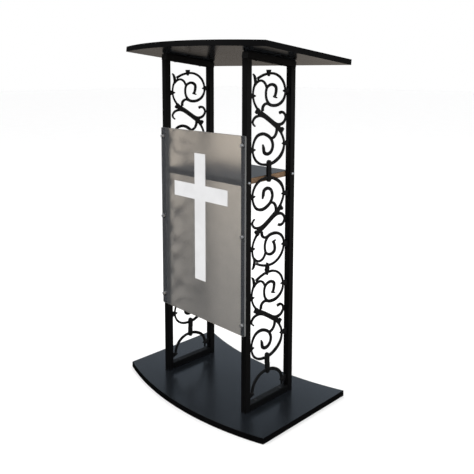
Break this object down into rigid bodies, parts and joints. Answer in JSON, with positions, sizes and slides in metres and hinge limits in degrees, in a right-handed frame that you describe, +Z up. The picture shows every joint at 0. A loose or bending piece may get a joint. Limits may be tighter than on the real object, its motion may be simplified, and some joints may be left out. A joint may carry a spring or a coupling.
{
  "type": "pulpit",
  "caption": "Standing pulpit with bowed base and sloping desk boards, open scroll side frames of square tube, a shelf and a frosted front panel with a cross.",
  "frame": {"origin": "on the floor, under the middle of the base board's bounding box", "axes": "+X to the audience's right as they look at the front panel, +Y from the audience towards the reader, +Z up; the front panel faces -Y"},
  "size_m": [0.636, 0.4419, 1.1341],
  "materials": {
    "board_laminate": "satin black laminate on particle board",
    "edge_band": "satin black edge band",
    "black_coat": "satin black powder coat",
    "black_plug": "matt black",
    "black_casting": "satin black paint",
    "raw_board": "raw particle board",
    "steel": "brushed",
    "black_screw": "black oxide",
    "acrylic": "frosted, translucent",
    "white_plastic": "matt white"
  },
  "bodies": {
    "root": {"base_board": "board_laminate", "base_front_band": "edge_band", "base_rear_band": "edge_band", "base_left_band": "edge_band", "base_right_band": "edge_band", "desk_board": "board_laminate", "desk_front_band": "edge_band", "desk_rear_band": "edge_band", "desk_left_band": "edge_band", "desk_right_band": "edge_band", "left_front_upright": "black_coat", "left_rear_upright": "black_coat", "left_top_rail": "black_coat", "left_bottom_rail": "black_coat", "right_front_upright": "black_coat", "right_rear_upright": "black_coat", "right_top_rail": "black_coat", "right_bottom_rail": "black_coat", "rail_plugs": "black_plug", "left_upper_scroll": "black_casting", "left_middle_scroll": "black_casting", "left_lower_scroll": "black_casting", "left_foot_arch": "black_casting", "right_upper_scroll": "black_casting", "right_middle_scroll": "black_casting", "right_lower_scroll": "black_casting", "right_foot_arch": "black_casting", "shelf_core": "raw_board", "shelf_top_laminate": "board_laminate", "shelf_bottom_laminate": "board_laminate", "shelf_front_band": "edge_band", "shelf_rear_band": "edge_band", "shelf_bolts": "steel", "front_panel": "acrylic", "cross": "white_plastic", "panel_caps": "steel", "desk_screws": "black_screw", "base_screws": "black_screw"}
  },
  "joints": []
}
